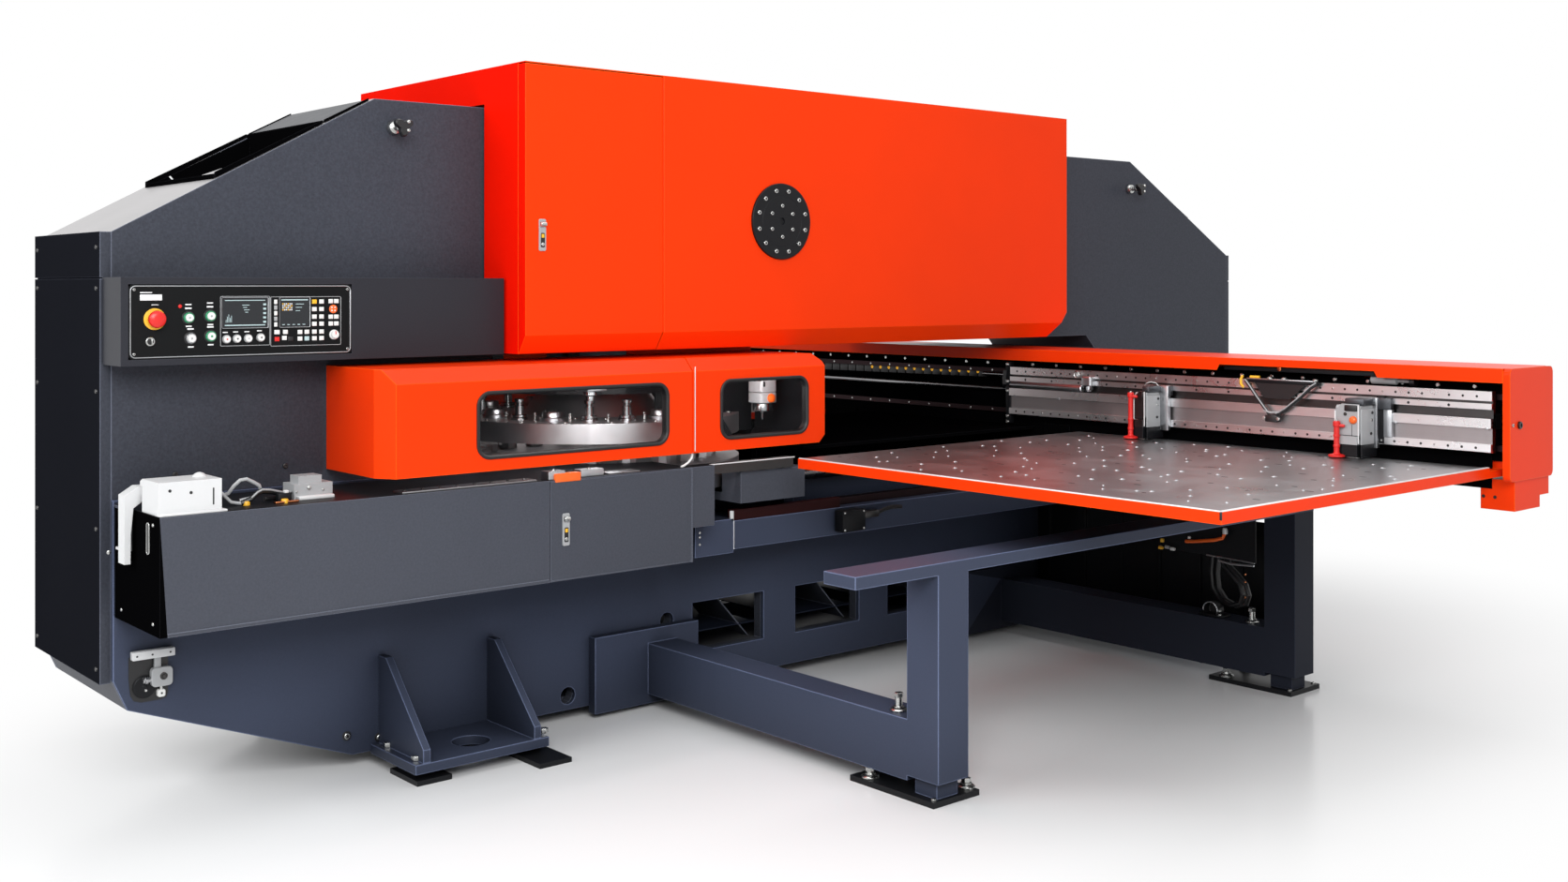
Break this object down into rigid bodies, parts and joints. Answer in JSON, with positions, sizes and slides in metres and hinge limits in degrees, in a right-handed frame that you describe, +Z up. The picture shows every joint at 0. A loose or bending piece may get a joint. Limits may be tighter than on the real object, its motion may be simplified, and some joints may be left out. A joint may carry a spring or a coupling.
{
  "type": "cnc turret punch press",
  "caption": "Bridge-frame sheet metal punch press with a rotating tool turret, an enclosed ram drive, a side control box and a moving table with a clamp carriage.",
  "frame": {"origin": "on the floor under the middle of the machine's bounding box", "axes": "+X along the work carriage, +Y along the bridge frame away from the control end, +Z up"},
  "size_m": [5.298, 5.708, 2.286],
  "materials": {
    "slate_paint": "satin",
    "end_paint": "satin",
    "orange_paint": "satin",
    "black_paint": "satin",
    "ground_steel": "brushed",
    "table_steel": "brushed",
    "tool_steel": "polished",
    "cast_grey": "machined",
    "aluminium": "anodised",
    "window_glass": "clear",
    "screen_glass": "gloss",
    "red_plastic": "gloss",
    "green_plastic": "gloss",
    "silver_plastic": "gloss",
    "zinc_plate": "bright"
  },
  "bodies": {
    "frame": {"bridge_frame": "slate_paint", "base_plates": "slate_paint", "rail_beams": "slate_paint", "end_covers": "end_paint", "y_rails": "ground_steel", "lifting_studs": "zinc_plate", "head_cover": "orange_paint", "disc_cover": "black_paint", "turret_covers": "orange_paint", "ram_window": "window_glass", "side_boxes": "slate_paint", "control_box": "slate_paint", "control_panel": "black_paint", "screens": "screen_glass", "press_motor": "cast_grey", "punch_lift_ring": "cast_grey", "punch_sensor": "aluminium", "centre_table": "table_steel", "table_stands": "slate_paint", "levelling_bolts": "zinc_plate", "anchor_brackets": "slate_paint", "air_unit": "aluminium", "valve_block": "aluminium"},
    "head_door": {"head_door": "orange_paint"},
    "head_latch": {"head_latch": "zinc_plate"},
    "turret_door": {"turret_door": "orange_paint", "turret_window": "window_glass"},
    "side_door": {"side_door": "slate_paint"},
    "side_latch": {"side_latch": "zinc_plate"},
    "upper_turret": {"upper_turret": "ground_steel", "punch_guides": "tool_steel"},
    "lower_turret": {"lower_turret": "ground_steel"},
    "strike_punch": {"strike_punch": "tool_steel"},
    "press_ram": {"press_ram": "tool_steel"},
    "eccentric_shaft": {"eccentric_shaft": "tool_steel"},
    "beam": {"cross_beam": "slate_paint", "x_rails": "ground_steel", "beam_cover": "orange_paint", "beam_end_caps": "orange_paint", "table_tops": "table_steel", "table_frames": "orange_paint"},
    "carriage": {"x_carriage": "aluminium", "clamp_1": "cast_grey", "clamp_2": "cast_grey"},
    "jaw_1": {"jaw_1": "tool_steel"},
    "jaw_2": {"jaw_2": "tool_steel"},
    "x_screw": {"x_screw": "ground_steel"},
    "y_screw": {"y_screw": "ground_steel"},
    "rollers": {"guide_rollers": "ground_steel"},
    "stop_button": {"stop_button": "red_plastic"},
    "key_switch": {"key_switch": "zinc_plate"},
    "feed_knob": {"feed_knob": "silver_plastic"},
    "push_button_1": {"push_button_1": "green_plastic"},
    "push_button_2": {"push_button_2": "green_plastic"},
    "push_button_3": {"push_button_3": "silver_plastic"},
    "push_button_4": {"push_button_4": "green_plastic"},
    "screen_button_1": {"screen_button_1": "silver_plastic"},
    "screen_button_2": {"screen_button_2": "silver_plastic"},
    "screen_button_3": {"screen_button_3": "silver_plastic"},
    "screen_button_4": {"screen_button_4": "silver_plastic"}
  },
  "joints": [
    {"name": "head_door_hinge", "type": "hinge", "parent": "frame", "child": "head_door", "pos_m": [0.6, -1.039, 1.8], "axis": [0, 0, 1], "range_deg": [0, 100]},
    {"name": "head_latch_swing", "type": "hinge", "parent": "head_door", "child": "head_latch", "pos_m": [0.6, -1.538, 1.662], "axis": [0, 1, 0], "range_deg": [0, 25], "stiffness_Nm_per_rad": 0.8, "springref_deg": -11.46},
    {"name": "turret_door_hinge", "type": "hinge", "parent": "frame", "child": "turret_door", "pos_m": [0.728, -1.006, 1.14], "axis": [0, 0, 1], "range_deg": [0, 95]},
    {"name": "side_door_hinge", "type": "hinge", "parent": "frame", "child": "side_door", "pos_m": [0.713, -1, 0.75], "axis": [0, 0, 1], "range_deg": [0, 100]},
    {"name": "side_latch_swing", "type": "hinge", "parent": "side_door", "child": "side_latch", "pos_m": [0.713, -1.519, 0.7], "axis": [0, 1, 0], "range_deg": [0, 25], "stiffness_Nm_per_rad": 0.8, "springref_deg": -11.46},
    {"name": "upper_turret_spin", "type": "hinge", "parent": "frame", "child": "upper_turret", "pos_m": [0, -0.93, 1], "axis": [0, 0, 1], "continuous": true},
    {"name": "lower_turret_spin", "type": "hinge", "parent": "frame", "child": "lower_turret", "pos_m": [0, -0.93, 0.85], "axis": [0, 0, 1], "continuous": true},
    {"name": "crank_turn", "type": "hinge", "parent": "frame", "child": "eccentric_shaft", "pos_m": [0, -0.498, 1.787], "axis": [-1, 0, 0], "range_deg": [0, 90]},
    {"name": "ram_stroke", "type": "slide", "parent": "frame", "child": "press_ram", "axis": [0, 0, 1], "range_m": [-0.037, 0]},
    {"name": "strike_punch_stroke", "type": "slide", "parent": "upper_turret", "child": "strike_punch", "axis": [0, 0, 1], "range_m": [-0.037, 0]},
    {"name": "table_slide", "type": "slide", "parent": "frame", "child": "beam", "axis": [0, 1, 0], "range_m": [-1.19, 0]},
    {"name": "carriage_slide", "type": "slide", "parent": "beam", "child": "carriage", "axis": [1, 0, 0], "range_m": [-2.5, 0]},
    {"name": "jaw_1_grip", "type": "hinge", "parent": "carriage", "child": "jaw_1", "pos_m": [1.19, 0.924, 0.954], "axis": [-1, 0, 0], "range_deg": [0, 6]},
    {"name": "jaw_2_grip", "type": "hinge", "parent": "carriage", "child": "jaw_2", "pos_m": [2.11, 0.924, 0.954], "axis": [-1, 0, 0], "range_deg": [0, 6]},
    {"name": "x_screw_turn", "type": "hinge", "parent": "beam", "child": "x_screw", "pos_m": [0, 1.034, 1.084], "axis": [1, 0, 0], "range_deg": [-18100, 0]},
    {"name": "y_screw_turn", "type": "hinge", "parent": "frame", "child": "y_screw", "pos_m": [0.42, 0, 0.81], "axis": [0, 1, 0], "range_deg": [-10800, 0]},
    {"name": "roller_turn", "type": "hinge", "parent": "beam", "child": "rollers", "pos_m": [0, 0.42, 0.7573], "axis": [1, 0, 0], "range_deg": [0, 2300]},
    {"name": "stop_press", "type": "slide", "parent": "frame", "child": "stop_button", "axis": [1, 0, 0], "range_m": [-0.005, 0], "stiffness_N_per_m": 900, "springref_m": 0.004},
    {"name": "key_turn", "type": "hinge", "parent": "frame", "child": "key_switch", "pos_m": [0.48, -2.766, 1.388], "axis": [1, 0, 0], "range_deg": [-45, 45]},
    {"name": "knob_turn", "type": "hinge", "parent": "frame", "child": "feed_knob", "pos_m": [0.48, -2.211, 1.397], "axis": [1, 0, 0], "range_deg": [-135, 135]},
    {"name": "push_button_1_press", "type": "slide", "parent": "frame", "child": "push_button_1", "axis": [1, 0, 0], "range_m": [-0.004, 0], "stiffness_N_per_m": 500, "springref_m": 0.003},
    {"name": "push_button_2_press", "type": "slide", "parent": "frame", "child": "push_button_2", "axis": [1, 0, 0], "range_m": [-0.004, 0], "stiffness_N_per_m": 500, "springref_m": 0.003},
    {"name": "push_button_3_press", "type": "slide", "parent": "frame", "child": "push_button_3", "axis": [1, 0, 0], "range_m": [-0.004, 0], "stiffness_N_per_m": 500, "springref_m": 0.003},
    {"name": "push_button_4_press", "type": "slide", "parent": "frame", "child": "push_button_4", "axis": [1, 0, 0], "range_m": [-0.004, 0], "stiffness_N_per_m": 500, "springref_m": 0.003},
    {"name": "screen_button_1_press", "type": "slide", "parent": "frame", "child": "screen_button_1", "axis": [1, 0, 0], "range_m": [-0.004, 0], "stiffness_N_per_m": 500, "springref_m": 0.003},
    {"name": "screen_button_2_press", "type": "slide", "parent": "frame", "child": "screen_button_2", "axis": [1, 0, 0], "range_m": [-0.004, 0], "stiffness_N_per_m": 500, "springref_m": 0.003},
    {"name": "screen_button_3_press", "type": "slide", "parent": "frame", "child": "screen_button_3", "axis": [1, 0, 0], "range_m": [-0.004, 0], "stiffness_N_per_m": 500, "springref_m": 0.003},
    {"name": "screen_button_4_press", "type": "slide", "parent": "frame", "child": "screen_button_4", "axis": [1, 0, 0], "range_m": [-0.004, 0], "stiffness_N_per_m": 500, "springref_m": 0.003}
  ],
  "couplings": [
    {"joint": "lower_turret_spin", "follows": "upper_turret_spin", "ratio": 1},
    {"joint": "ram_stroke", "follows": "crank_turn", "m_per_rad": -0.0234},
    {"joint": "strike_punch_stroke", "follows": "crank_turn", "m_per_rad": -0.0234},
    {"joint": "x_screw_turn", "follows": "carriage_slide", "rad_per_m": 125.66},
    {"joint": "y_screw_turn", "follows": "table_slide", "rad_per_m": 157.08},
    {"joint": "roller_turn", "follows": "table_slide", "rad_per_m": -33.333}
  ]
}
